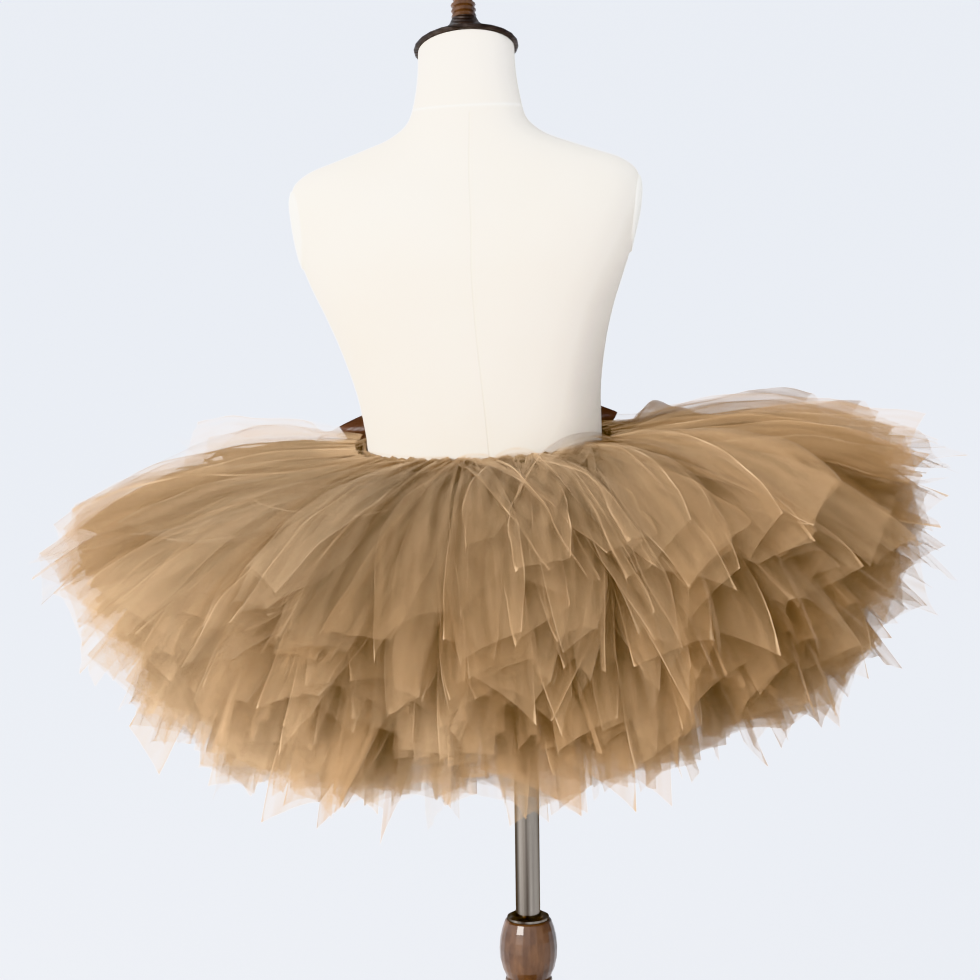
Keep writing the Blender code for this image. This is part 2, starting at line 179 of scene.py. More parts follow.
# how the tails differ round the waist and from tier to tier, in degrees, metres and shares
SAGGING = (274, 12, 32)  # the middle of it, half of it, and how softly it ends
SAG = (11, 8.8, 5.5, 2.2, 0, 0)  # that a tier's hems hang lower at the middle of the back
TIED_LOW = (193, 32, 22)  # where the bow's left tip shows
SEAT_LOWER = 14
FRONT_LOWER = (7, 8)  # at the band and at the hem
FRONT_RIGHT_LOWER = (16, 30)  # more, in the upper tiers
RIGHT_FLATTER = (9, 7, 4, 0, 0, 0)  # that a tier's hems stand higher at the right
RIGHT_LONGER = (-0.008, 0.010, 0.010, 0.010, -0.008, -0.008)
LEFT_TURN = math.radians(20)  # of what counts as the left, towards the back
FLANKS_TURN = 46  # that the cloth faces the camera more at the flanks
FRONT_UNTURNED = 0.85
TONE = 0.2
# the left flank is painted paler, as lit by the lamp on that side: painted light
PAINTED_LIGHT_LEFT = 0.42
TONE_RIGHT = 0.05
# the lower tiers are painted paler against the shade of the tiers above: painted light
PAINTED_LIGHT_LOW = 0.25
LAYERS_RIGHT = 0.45
LAYERS_LEFT = -0.2
EVENER_LOW = 0.4  # that the lengths differ less in the lowest tier
# the share of tails up to each sort; the rest lie open
IN_TWO = 0.32
IN_THREE = 0.62
PLEATED = 0.80
CURLED = 0.90

rng = np.random.default_rng(20)

# tails placed one by one: where each is tied, and where the picture shows the middle of its hem
FIELDS = "tier angle tip_x tip_y start length kind way turn twist close cover tone by"
Placed = namedtuple("Placed", FIELDS, defaults=("aim",))
PLACED = [Placed(*row) for row in (
    # the middle of the back
    (1, 256, 408, 688, -6, 0.262, "tripled", 1, 10, 20, 0.55, 1.1, 0.7),
    (1, 264, 448, 618, -2, 0.235, "petal", -1, 0, 10, 0.1, 0.9, 0.5),
    (1, 263, 494, 660, 2, 0.262, "doubled", -1, 5, 10, 0.3, 1.2, 0.7),
    (1, 270, 470, 646, -6, 0.255, "tripled", 1, 0, -10, 0.2, 1.0, 0.3),
    (1, 279, 497, 655, -8, 0.25, "doubled", 1, -10, 15, 0.5, 1.1, 0.4),
    (1, 287, 541, 586, -4, 0.235, "tripled", -1, 10, 10, 0.1, 1.1, 0.6),
    (2, 290, 543, 674, -14, 0.262, "tripled", 1, 0, 30, 0.75, 1.2, 0.9),
    (1, 297, 578, 628, -3, 0.262, "doubled", 1, -10, 15, 0.6, 1.2, 0.7),
    (2, 298, 566, 676, -12, 0.262, "tripled", -1, 10, -20, 0.8, 1.2, 0.8),
    (2, 306, 585, 668, -8, 0.262, "tripled", 1, -20, 30, 0.8, 1.2, 1.0),
    (1, 336, 506, 577, 12, 0.225, "bunched", 1, 30, 20, 0.0, 1.3, 1.0),
    (1, 322, 552, 548, 10, 0.195, "tripled", -1, 20, 40, 0.3, 1.0, 0.8),
    (1, 258, 572, 570, 10, 0.205, "tripled", 1, 10, -10, 0.2, 0.9, 0.7),
    (1, 292, 640, 566, 8, 0.225, "bunched", -1, 10, 30, 0.1, 1.1, 0.9),
    (1, 272, 622, 545, 14, 0.215, "tripled", 1, 10, 30, 0.5, 0.8, 0.9),
    (1, 298, 680, 552, 10, 0.235, "doubled", -1, 30, 10, 0.4, 0.8, 0.9),
    (1, 312, 590, 640, 6, 0.24, "bunched", 1, 10, 10, 0.1, 1.0, 0.9),
    (1, 288, 665, 640, 4, 0.265, "tripled", 1, 10, 10, 0.6, 1.0, 1.0),
    (1, 276, 480, 560, 6, 0.19, "tripled", -1, 10, 10, 0.5, 0.7, 0.6),
    (1, 303, 650, 680, -4, 0.27, "tripled", 1, 20, 10, 0.8, 1.3, 0.9),
    (1, 312, 682, 648, 0, 0.27, "tripled", -1, -10, 20, 0.8, 1.3, 1.0),
    (2, 300, 645, 738, -14, 0.28, "tripled", 1, 10, 20, 0.75, 1.3, 0.8),
    (1, 320, 724, 606, 4, 0.265, "doubled", -1, 30, 10, 0.3, 1.2, 0.6),
    (1, 326, 705, 560, 4, 0.255, "doubled", 1, 40, 0, 0.4, 1.2, 0.5),
    (2, 313, 700, 640, -2, 0.262, "petal", 1, 20, 0, 0.55, 1.1, 0.5),
    (2, 284, 515, 690, -16, 0.262, "petal", 1, 0, 0, 0.6, 1.1, 0.5),
    (2, 268, 470, 690, -16, 0.262, "doubled", 1, 0, 0, 0.6, 1.1, 0.4),
    # the right flank
    (1, 338, 772, 540, 6, 0.268, "doubled", -1, 50, 10, 0.35, 1.2, 0.7),
    (1, 343, 820, 500, 8, 0.275, "doubled", 1, 40, 10, 0.4, 1.2, 0.6),
    (1, 347, 903, 419, 5, 0.275, "tripled", 1, 30, -20, 0.6, 1.2, 0.6, "length"),
    (1, 350, 880, 436, 6, 0.275, "doubled", 1, 50, -20, 0.4, 1.3, 0.6),
    (1, 352, 932, 442, 3, 0.285, "tripled", 1, 40, 0, 0.8, 0.8, 0.4, "length"),
    (1, 358, 938, 461, 0, 0.285, "tripled", -1, 20, 0, 0.8, 0.8, 0.4, "length"),
    (2, 350, 912, 500, 2, 0.285, "doubled", 1, 50, 0, 0.3, 1.2, 0.5, "length"),
    (2, 345, 905, 545, -2, 0.28, "doubled", -1, 50, 10, 0.3, 1.2, 0.4, "length"),
    (3, 334, 850, 664, -8, 0.272, "doubled", -1, 40, 10, 0.4, 1.2, 0.4),
    (3, 326, 797, 640, -6, 0.268, "petal", 1, 40, 10, 0.5, 1.2, 0.4),
    (4, 318, 765, 690, -12, 0.268, "cone", -1, 40, 10, 0.0, 1.1, 0.3),
    (4, 310, 715, 690, -12, 0.262, "cone", -1, 20, 10, 0.0, 1.1, 0.3),
    (3, 304, 664, 728, -16, 0.275, "doubled", 1, 10, 10, 0.2, 1.1, 0.6),
    # the left flank
    (1, 218, 155, 533, -2, 0.285, "doubled", 1, -12, 0, 0.6, 1.0, 0.8),
    (2, 233, 226, 636, -6, 0.28, "tripled", -1, -30, -20, 0.75, 1.1, 1.0),
    (2, 240, 268, 602, -2, 0.262, "tripled", 1, -20, 20, 0.75, 1.1, 1.0),
    (3, 236, 232, 650, -10, 0.272, "tripled", 1, -20, 0, 0.75, 1.1, 0.9),
    (3, 228, 228, 688, -16, 0.272, "doubled", 1, -30, 0, 0.55, 1.1, 0.6),
    (3, 243, 312, 698, -14, 0.268, "tripled", -1, -20, 10, 0.7, 1.1, 0.9),
    (3, 250, 298, 690, -12, 0.268, "doubled", 1, -10, 10, 0.5, 1.0, 0.7),
    (5, 250, 337, 796, -40, 0.285, "tripled", 1, 0, 20, 0.75, 1.5, 0.3),
    (6, 257, 397, 780, -50, 0.25, "tripled", -1, 0, 30, 0.8, 1.5, 0.3),
    (5, 240, 300, 796, -38, 0.285, "doubled", 1, -10, 10, 0.5, 1.0, 0.5),
    (5, 288, 570, 776, -40, 0.272, "tripled", 1, 0, 20, 0.4, 1.2, 0.6),
    (4, 292, 594, 748, -30, 0.27, "doubled", -1, 10, 10, 0.3, 1.2, 0.5),
    # thin ones that stand up at the sides and behind
    (1, 166, 158, 438, -6, 0.27, "veil", 1, -20, 10, 0.6, 0.5, 0.6, "length"),
    (1, 174, 146, 466, -6, 0.27, "veil", -1, -30, 0, 0.5, 0.6, 0.6, "length"),
    (1, 182, 124, 480, -4, 0.27, "veil", 1, -30, 20, 0.5, 0.7, 0.6, "length"),
    (1, 146, 216, 432, -10, 0.27, "veil", 1, 0, 10, 0.5, 0.5, 0.6),
    (1, 38, 664, 450, -6, 0.16, "veil", 1, 8, 10, 0.3, 4.0, 0.0, "length"),
    (1, 256, 250, 484, 4, 0.255, "veil", 1, -35, 0, 0.4, 0.8, 0.7),
)]
# where only placed tails are tied, in degrees, so that they show
BARE = {1: (258, 306), 2: (268, 298)}
# more tails are tied at the right flank, between these degrees
MORE_RIGHT = (2, 7, 7, 5, 3, 0)
FLANK_RIGHT = (318, 368)
POINTED_BELOW = 330  # degrees: a placed tail tied further round has no pointed corner
PLACED_SEAT = -4  # degrees that a placed tail sits lower on the band

# to aim a placed tail: what is tried to see how its hem moves, and the most that is changed at a time
AIM_STEP = {"end": 1.0, "aim": 1.0, "length": 0.002}
AIM_MOST = {"end": 12.0, "aim": 12.0, "length": 0.02}
AIM_ROUNDS = 12
SHORTEST = 0.15
LONGEST = 0.30


# ---- camera, light and floor ----


def new_object(name, data):
    obj = bpy.data.objects.new(name, data)
    bpy.context.scene.collection.objects.link(obj)
    return obj


def camera_frame():
    level = math.cos(CAMERA_ELEVATION)
    east = math.sin(CAMERA_AZIMUTH) * level
    south = math.cos(CAMERA_AZIMUTH) * level
    back = Vector((east, -south, math.sin(CAMERA_ELEVATION)))
    turn = (-back).to_track_quat("-Z", "Y").to_matrix().to_4x4()
    place = Matrix.Translation(CAMERA_TARGET + back * CAMERA_DISTANCE)
    return place @ turn @ Matrix.Rotation(CAMERA_ROLL, 4, "Z")


def make_camera():
    data = bpy.data.cameras.new("camera")
    data.sensor_width = CAMERA_SENSOR
    data.lens = CAMERA_LENS
    data.clip_end = 200
    camera = new_object("camera", data)
    camera.matrix_world = camera_frame()
    bpy.context.scene.camera = camera


def on_picture(point):
    """Where the camera shows a point of the form's frame, in pixels from the picture's top left corner."""
    seen = camera_frame().inverted() @ FORM_FRAME @ Vector(point)
    scale = PICTURE * CAMERA_LENS / CAMERA_SENSOR / -seen.z
    return np.array([PICTURE / 2 + seen.x * scale, PICTURE / 2 - seen.y * scale])


def make_key_light():
    """A soft lamp before the skirt's left, a little above it."""
    data = bpy.data.lights.new("key", "AREA")
    data.energy = KEY_WATTS
    data.color = KEY_COLOUR
    data.shape = "DISK"
    data.size = KEY_SIZE
    light = new_object("key", data)
    light.location = KEY_PLACE
    light.rotation_euler = (KEY_AIM - KEY_PLACE).to_track_quat("-Z", "Y").to_euler()


def studio_world():
    """Pale walls all round, bright behind the camera's left shoulder and dimmer on the right and behind."""
    world = bpy.data.worlds.new("studio")
    world.use_nodes = True
    tree = world.node_tree
    sky = tree.nodes["Background"]
    direction = tree.nodes.new("ShaderNodeTexCoord").outputs["Generated"]
    towards = tree.nodes.new("ShaderNodeVectorMath")
    towards.operation = "DOT_PRODUCT"
    tree.links.new(direction, towards.inputs[0])
    towards.inputs[1].default_value = WALLS_BRIGHT_SIDE.normalized()
    ramp = tree.nodes.new("ShaderNodeMapRange")
    ramp.interpolation_type = "SMOOTHSTEP"
    tree.links.new(towards.outputs["Value"], ramp.inputs["Value"])
    ramp.inputs["From Min"].default_value = -1.0
    ramp.inputs["To Min"].default_value = WALLS_DIM
    ramp.inputs["To Max"].default_value = WALLS_BRIGHT
    tree.links.new(ramp.outputs[0], sky.inputs["Strength"])
    sky.inputs["Color"].default_value = WALLS_COLOUR
    return world


def make_studio():
    scene = bpy.context.scene
    scene.view_settings.view_transform = "Khronos PBR Neutral"
    # enough layers of tulle to look through, and few bounces, so that the render is quick
    scene.cycles.transparent_max_bounces = 11
    scene.cycles.max_bounces = 4
    scene.cycles.diffuse_bounces = 2
    scene.cycles.denoising_input_passes = "RGB"
    scene.world = studio_world()
    make_key_light()
    shape = bmesh.new()
    bmesh.ops.create_grid(shape, x_segments=2, y_segments=2, size=FLOOR_REACH)
    floor = add_object("floor", mesh_of(shape, "floor"), floor_material())


# ---- objects and materials ----


def mesh_of(shape, name):
    mesh = bpy.data.meshes.new(name)
    shape.to_mesh(mesh)
    shape.free()
    return mesh


def add_object(name, mesh, material):
    mesh.materials.clear()
    mesh.materials.append(material)
    mesh.shade_smooth()
    return new_object(name, mesh)


def add_values(mesh, name, values):
    """One value for each of the mesh's points, for its material to read."""
    mesh.attributes.new(name, "FLOAT", "POINT").data.foreach_set("value", values.astype(np.float32))


class Nodes:
    """A new material's node tree, with short ways to add nodes and links."""

    def __init__(self, name):
        self.material = bpy.data.materials.new(name)
        self.material.use_nodes = True
        self.tree = self.material.node_tree
        self.shader = self.tree.nodes["Principled BSDF"]

    def set(self, **values):
        for key, value in values.items():
            self.shader.inputs[key.replace("_", " ")].default_value = value

    def add(self, kind, inputs=None, **settings):
        node = self.tree.nodes.new("ShaderNode" + kind)
        for key, value in settings.items():
            setattr(node, key, value)
        for key, value in (inputs or {}).items():
            self.put(node.inputs[key], value)
        return node

    def put(self, socket, value):
        if isinstance(value, bpy.types.NodeSocket):
            self.tree.links.new(value, socket)
        else:
            socket.default_value = value

    def math(self, operation, a, b=0.0, clamp=False):
        node = self.add("Math", operation=operation, use_clamp=clamp)
        self.put(node.inputs[0], a)
        self.put(node.inputs[1], b)
        return node.outputs[0]

    def mix(self, factor, a, b):
        node = self.add("Mix", data_type="RGBA")
        self.put(node.inputs[0], factor)
        self.put(node.inputs[6], a)
        self.put(node.inputs[7], b)
        return node.outputs[2]

    def ramp(self, value, low, high, to_low=0.0, to_high=1.0):
        inputs = {"Value": value, "From Min": low, "From Max": high, "To Min": to_low, "To Max": to_high}
        return self.add("MapRange", inputs).outputs[0]

    def coordinates(self):
        return self.add("TexCoord").outputs["Object"]

    def attribute(self, name):
        return self.add("Attribute", attribute_name=name).outputs["Fac"]

    def scaled(self, vector, scale):
        return self.add("Mapping", {"Vector": vector, "Scale": scale}).outputs[0]

    def noise(self, vector, scale, detail=3, rough=0.5):
        inputs = {"Vector": vector, "Scale": scale, "Detail": detail, "Roughness": rough}
        return self.add("TexNoise", inputs).outputs["Fac"]

    def waves(self, value, radians_a_metre):
        return self.math("SINE", self.math("MULTIPLY", value, radians_a_metre))

    def paint(self, colour):
        self.tree.links.new(colour, self.shader.inputs["Base Color"])

    def bump(self, height, distance, strength=1.0):
        node = self.add("Bump", {"Height": height, "Distance": distance, "Strength": strength})
        self.tree.links.new(node.outputs[0], self.shader.inputs["Normal"])


def floor_material():
    n = Nodes("floor")
    n.set(Base_Color=(0.975, 0.975, 0.985, 1), Roughness=0.8)
    return n.material


def tulle_material():
    """Nylon net: thin threads with holes between, denser along its folds and its cut edges, and painted
    paler there as highlights.
    """
    dark, pale, painted_line_highlight = (0.355, 0.200, 0.088, 1), (0.54, 0.375, 0.223, 1), (0.60, 0.42, 0.255, 1)
    n = Nodes("tulle")
    cut = n.add("UVMap", uv_map="cut").outputs[0]
    value = {key: n.attribute(key) for key in TAIL_VALUES}
    line = n.math("MULTIPLY", n.ramp(value["from_line"], *LINE_FADES), value["line"])
    threads = n.noise(n.scaled(cut, (150, 14, 1)), scale=1.0, detail=0)
    cover = n.math("MULTIPLY", value["cover"], n.ramp(threads, 0.3, 0.7, 0.8, 1.2))
    cover = n.math("ADD", cover, n.math("MULTIPLY", line, LINE_COVER), clamp=True)
    n.tree.links.new(cover, n.shader.inputs["Alpha"])
    colour = n.mix(value["tone"], dark, pale)
    # the folds and edges are painted paler: painted highlights along them
    n.paint(n.mix(n.math("MULTIPLY", line, line), colour, painted_line_highlight))
    n.set(Sheen_Weight=0.18, Sheen_Roughness=0.4, Sheen_Tint=(1.0, 0.84, 0.66, 1))
    n.set(Roughness=0.6, Specular_IOR_Level=0.2)
    return n.material


def linen_material():
    """Undyed jersey pulled smooth over the form, with seams down its back and round the neck's foot, and
    shade painted darker on its neck.
    """
    dull, pale = (0.85, 0.79, 0.70, 1), (0.885, 0.83, 0.745, 1)
    # the neck's colour is painted shade
    slub, neck = (0.835, 0.772, 0.68, 1), (0.75, 0.71, 0.655, 1)
    back_seam, neck_seam = (0.62, 0.54, 0.43, 1), (0.97, 0.94, 0.87, 1)
    n = Nodes("form_fabric")
    at = n.coordinates()
    n.set(Roughness=0.85, Sheen_Weight=0.08, Specular_IOR_Level=0.25)
    aside = n.attribute("from_back_seam")
    above = n.attribute("from_neck_seam")
    # the seams' lines: where each fades out and where it is full, in metres
    below_seam = n.ramp(above, -0.004, -0.0004)
    back_line = n.ramp(n.math("ABSOLUTE", aside), 0.0012, 0.0003)
    neck_line = n.ramp(n.math("ABSOLUTE", above), 0.0017, 0.0004)
    patches = n.noise(at, 9)
    slubs = n.noise(n.scaled(at, (1, 1, 6)), 240, detail=2)
    colour = n.mix(n.ramp(patches, 0.35, 0.65), dull, pale)
    colour = n.mix(n.ramp(slubs, 0.52, 0.72, 0, 0.25), colour, slub)
    # painted shade: the neck is painted darker, from a little below its seam upwards
    colour = n.mix(n.ramp(above, -0.05, 0.04, 0, 0.6), colour, neck)
    colour = n.mix(n.math("MULTIPLY", back_line, 0.2), colour, back_seam)
    n.paint(n.mix(n.math("MULTIPLY", neck_line, 0.8), colour, neck_seam))
    place = n.add("SeparateXYZ", {"Vector": at}).outputs
    weave = n.math("MULTIPLY", n.waves(place[0], 5200.0), n.waves(place[2], 5200.0))
    seams = n.math("SUBTRACT", n.math("SUBTRACT", neck_line, below_seam), back_line)
    n.bump(n.math("ADD", n.math("MULTIPLY", weave, 0.12), seams), distance=0.0006, strength=0.7)
    return n.material


def satin_material():
    dark, pale = (0.075, 0.032, 0.018, 1), (0.15, 0.070, 0.042, 1)
    n = Nodes("ribbon")
    n.paint(n.mix(n.ramp(n.noise(n.coordinates(), 30, detail=2), 0.3, 0.7), dark, pale))
    n.set(Roughness=0.36, Sheen_Weight=0.3, Specular_IOR_Level=0.8, Anisotropic=0.5)
    return n.material


def band_material():
    """Tulle bunched tight: darker than the strips, with fine creases across the band, painted darker in
    their hollows as shade.
    """
    dark, pale = (0.15, 0.085, 0.038, 1), (0.30, 0.19, 0.095, 1)
    n = Nodes("waistband")
    bunched = n.noise(n.coordinates(), 420, rough=0.6)
    # the same noise darkens the colour where the bump sinks: painted shade in the creases
    n.paint(n.mix(n.ramp(bunched, 0.35, 0.65), dark, pale))
    n.set(Roughness=0.8, Sheen_Weight=0.15, Specular_IOR_Level=0.2)
    n.bump(bunched, distance=0.0008, strength=0.8)
    return n.material


def bronze_material():
    """Dark bronze turned in rings, worn to a tan edge."""
    bare_dark, bare_pale = (0.030, 0.022, 0.018, 1), (0.075, 0.055, 0.045, 1)
    worn_dark, worn_pale = (0.12, 0.07, 0.045, 1), (0.42, 0.30, 0.22, 1)
    n = Nodes("bronze")
    at = n.coordinates()
    height = n.add("SeparateXYZ", {"Vector": at}).outputs[2]
    cloudy = n.noise(at, 130, detail=4)
    bare = n.mix(n.ramp(cloudy, 0.35, 0.7), bare_dark, bare_pale)
    worn = n.mix(n.ramp(cloudy, 0.35, 0.65), worn_dark, worn_pale)
    n.paint(n.mix(n.ramp(height, CAP_RIM + 0.0012, CAP_RIM), bare, worn))
    n.set(Roughness=0.34, Metallic=0.6)
    n.bump(n.waves(height, 2600.0), distance=0.0008, strength=0.8)
    return n.material


def wood_material():
    """Dark stained wood under clear polish."""
    dark, pale = (0.052, 0.022, 0.010, 1), (0.155, 0.072, 0.030, 1)
    n = Nodes("wood")
    grain = n.noise(n.scaled(n.coordinates(), (1, 1, 0.45)), 62, detail=4, rough=0.6)
    n.paint(n.mix(n.ramp(grain, 0.35, 0.68), dark, pale))
    n.set(Roughness=0.34, Coat_Weight=0.6, Coat_Roughness=0.12, Specular_IOR_Level=0.3)
    n.bump(grain, distance=0.0003, strength=0.4)
    return n.material


def steel_material():
    """Drawn tube: polished, with dark and bright bands along it that are painted reflections."""
    # the two colours are painted reflections, dark and bright, in bands along the tube
    dull, bright = (0.060, 0.048, 0.040, 1), (0.29, 0.26, 0.225, 1)
    n = Nodes("steel")
    painted_reflections = n.noise(n.scaled(n.coordinates(), (1, 1, 0.015)), 130, detail=2)
    n.paint(n.mix(n.ramp(painted_reflections, 0.36, 0.64), dull, bright))
    n.set(Roughness=0.22, Metallic=1.0, Specular_Tint=(0.30, 0.27, 0.24, 1))
    return n.material


# ---- outlines, and places round the waist ----


def outline(section, angle):
    """A point of a section's outline, in its own plane."""
    c, s = np.cos(angle), np.sin(angle)
    power = 2 / section.squareness
    depth = np.where(s > 0, section.front, section.back)
    x = np.sign(c) * np.abs(c) ** power * section.half_width
    y = np.sign(s) * np.abs(s) ** power * depth
    return np.stack([x, y], -1)


def waist_point(angle):
    return outline(WAIST, angle)


def waist_outwards(angle):
    ahead, behind = waist_point(angle + 0.001), waist_point(angle - 0.001)
    along = ahead - behind
    out = np.stack([along[..., 1], -along[..., 0]], -1)
    return out / np.linalg.norm(out, axis=-1, keepdims=True)


def fading(distance, half, soft):
    """1 within half of zero, and fading to 0 over soft."""
    share = np.clip((np.abs(distance) - half) / soft, 0, 1)
    return 1 - share * share * (3 - 2 * share)


def near(angle, middle, half, soft):
    """1 in this stretch of the waist, and fading to 0 beside it."""
    return float(fading(math.degrees(angle) - middle, half, soft))


def dent_at(x, y):
    """How far the bow presses the tulle down here."""
    share = np.minimum(1, np.abs(x) / LOOP_REACH)
    depth = DENT_MIDDLE + (DENT_TIPS - DENT_MIDDLE) * share
    return depth * fading(y - BOW_Y, LOOP_DEPTH + DENT_MARGIN, DENT_SOFT) * fading(x, LOOP_REACH, DENT_SOFT)


# ---- tails of tulle ----


TAIL = dict(
    angle=0.0,  # round the waist, where it is tied
    seat=0.0,  # round the band's section, degrees
    start=0.0,  # slope at the band, degrees
    end=-20.0,  # and at the hem
    length=0.26,
    aim=0.0,  # degrees that it leaves sideways from square to the waist
    veer=0.0,  # degrees that it turns sideways by the hem
    folds=2.0,  # waves across it
    swing=1.2,  # radians that the cloth turns either way in a wave
    lean=0.0,  # radians that all of it turns one way, so that it folds flat
    phase=0.0,
    crisp=1.5,  # how sharp the folds are
    curl=0.0,  # radians that it curls across, into a trough or a cone
    turn=0.0,  # degrees that it is turned about its own length at the band
    twist=0.0,  # and gains by the hem
    gather=0.40,  # its width at the band, as a share of what the gathers leave
    open_by=0.6,  # the share of its length where it is all open
    close=0.0,  # how much it narrows again by the hem
    slant=0.0,  # metres that one corner is longer than the other
    corners=(0.0, 0.0),  # metres that each corner is drawn out
    crinkle=0.2,  # radians of the small creases at the free end
    droop=0.0,  # metres that its free sides hang
    tone=0.5,  # 0 dark, 1 pale
    layers=1.0,  # layers of net that lie close together in it
    line=0.8,  # how clearly its folds and edges show
    kinks=((0.3, 0.0, 0.0), (0.7, 0.0, 0.0)),  # share of its length, degrees up and degrees sideways
)
TAIL_VALUES = ("cover", "tone", "from_line", "line")


def middle_line(t):
    """The line that a tail's middle follows from the band, its directions, its headings and its length."""
    lift = LIFT_RIGHT * math.cos(t["angle"]) + LIFT_FRONT * math.sin(t["angle"])
    length = t["length"] * (1 - SHORTER_RIGHT * math.cos(t["angle"]))
    fine = np.linspace(0, 1, ROWS)
    up_bend, side_bend = 0, 0
    for place, up, aside in t["kinks"]:
        bend = (1 - fading(fine - place, 0, KINK_LENGTH)) * (fine > place)
        up_bend = up_bend + bend * up
        side_bend = side_bend + bend * aside
    slope = np.radians(t["start"] + lift + (t["end"] - t["start"]) * fine + up_bend)
    out_dir = waist_outwards(np.array(t["angle"]))
    facing = math.atan2(out_dir[1], out_dir[0]) + math.radians(t["aim"])
    facing = facing + np.radians(t["veer"] * fine + side_bend)
    along = np.stack([np.cos(slope) * np.cos(facing), np.cos(slope) * np.sin(facing), np.sin(slope)], -1)
    seat = math.radians(t["seat"])
    out = BAND_INNER + BAND_THICKNESS / 2 + SEAT_RADIUS * math.cos(seat)
    up = BAND_TOP - BAND_HEIGHT / 2 + SEAT_RADIUS * math.sin(seat)
    middle = np.zeros((ROWS, 3))
    middle[0] = (*(waist_point(np.array(t["angle"])) + out_dir * out), up)
    middle[1:] = middle[0] + np.cumsum((along[1:] + along[:-1]) / 2, axis=0) * length / (ROWS - 1)
    return middle, along, facing, length


def places_across(t):
    """Places across the cut as shares of its width, one of them on each fold's crest, and the crests."""
    u = np.linspace(0, 1, COLS)
    crests = (np.arange(-9, 9) * np.pi - t["phase"]) / (2 * np.pi * t["folds"])
    crests = crests[(crests > 1.5 / COLS) & (crests < 1 - 1.5 / COLS)]
    for crest in crests:
        u[round(crest * (COLS - 1))] = crest
    return u, crests


def section_of(t, u, v, opened):
    """A tail's section, across and in depth, by following the cloth's own direction across it."""
    wave = np.sin(2 * np.pi * t["folds"] * u + t["phase"])
    wave = np.tanh(t["crisp"] * wave) / np.tanh(t["crisp"])
    large, small = (2 * np.pi * crease * u for crease in CREASES)
    crease = np.sin(large + 2.1 * t["phase"]) + 0.7 * np.sin(small + 3.7 * t["phase"])
    pleat = GATHERS_TURN * (1 - opened) ** 1.1 * np.sin(2 * np.pi * GATHERS * u + 1.3 * t["phase"])
    angle = t["swing"] * wave + t["lean"] + t["curl"] * (2 * u - 1) + t["crinkle"] * crease * v**2 + pleat
    step = np.diff(u, axis=1) * STRIP_WIDTH
    middle_angle = (angle[:, 1:] + angle[:, :-1]) / 2
    start = np.zeros((ROWS, 1))
    across = np.concatenate([start, np.cumsum(np.cos(middle_angle) * step, axis=1)], axis=1)
    depth = np.concatenate([start, np.cumsum(np.sin(middle_angle) * step, axis=1)], axis=1)
    across -= (across.max(axis=1, keepdims=True) + across.min(axis=1, keepdims=True)) / 2
    depth -= depth.mean(axis=1, keepdims=True)
    return across, depth


def wander(u, v, seed):
    """How far the net wanders from a smooth sheet, upwards and sideways."""
    tau = 2 * np.pi
    up = np.sin(tau * (1.9 * v + 0.6 * u) + seed) + 0.6 * np.sin(tau * (4.3 * v - 1.1 * u) + 2 * seed)
    aside = np.sin(tau * (1.3 * v + 0.3 * u) + 3 * seed) + 0.5 * np.sin(tau * 3.7 * v + seed)
    return WOBBLE * up * v, WOBBLE * aside * v


def net_values(t, u, v, seed):
    """What the tulle's material reads, apart from the distance to a line."""
    cloudy = np.sin(41 * u + seed) * np.sin(17 * v + 2 * seed) + np.sin(23 * u - 29 * v + seed)
    patchy = np.sin(13 * u + 19 * v + 3 * seed) + np.sin(31 * v - 11 * u + seed)
    at_knot = np.clip(1 - v / KNOT_SHARE, 0, 1)
    return {
        "cover": t["layers"] * (NET_COVER + CLOUDY_COVER * cloudy) + KNOT_COVER * at_knot,
        "tone": np.clip(t["tone"] + NEAR_BAND_PALER * (1 - v) ** 1.5 + 0 * u, 0, 1),
        "line": t["line"] * np.clip(0.7 + 0.3 * patchy, 0.2, 1),
    }


def tail_grid(**given):
    """A tail's points from the band to the hem, their places in the cut and the material's values."""
    t = dict(TAIL, **given)
    middle, along, facing, length = middle_line(t)
    v = np.linspace(0, 1, ROWS)[:, None]
    u, crests = places_across(t)
    from_fold = np.min(np.abs(u[:, None] - crests), axis=1, initial=1.0) * STRIP_WIDTH
    u = u[None, :]
    opened = np.clip(v / t["open_by"], 0, 1)
    across, depth = section_of(t, u, v, opened)

    # its width, and its turn about its own length
    scale = t["gather"] + (1 - t["gather"]) * (1 - (1 - opened) ** 1.7)
    closed = np.clip((v - CLOSES_FROM) / (1 - CLOSES_FROM), 0, 1)
    scale = scale * (1 - t["close"] * closed**1.5)
    side = np.stack([-np.sin(facing), np.cos(facing), np.zeros(ROWS)], -1)
    top = np.cross(along, side)
    roll = np.radians(t["turn"] + t["twist"] * v)
    lateral, height = scale * across, scale * depth
    a = lateral * np.cos(roll) - height * np.sin(roll)
    b = lateral * np.sin(roll) + height * np.cos(roll)
    points = middle[:, None, :] + side[:, None, :] * a[..., None] + top[:, None, :] * b[..., None]

    # its hem's shape, and how it wanders and hangs
    first, last = t["corners"]
    longer = 1 + (t["slant"] * (u - 0.5) + first * (1 - u) ** 4 + last * u**4) / length
    pull_back = PULLED_BACK * (a**2 + b**2) / (2 * length * v + 0.02)
    extra = length * (longer - 1) * v**3
    points = points + along[:, None, :] * (extra - pull_back)[..., None]
    seed = 5.3 * t["phase"] + 9.1 * t["angle"]
    up, aside = wander(u, v, seed)
    points = points + top[:, None, :] * up[..., None]
    points = points + side[:, None, :] * aside[..., None]
    points[..., 2] -= t["droop"] * (2 * u - 1) ** 2 * v**2
    points[..., 2] -= dent_at(points[..., 0], points[..., 1])

    cut_x = np.broadcast_to(u * STRIP_WIDTH, (ROWS, COLS))
    cut_y = v * length * longer
    from_hem = length * longer - cut_y + HEM_FAINTER
    from_edge = np.minimum(np.minimum(cut_x, STRIP_WIDTH - cut_x), from_hem)
    values = net_values(t, u, v, seed)
    values["from_line"] = np.minimum(from_edge, from_fold)
    return points, np.stack([cut_x, cut_y], -1), values


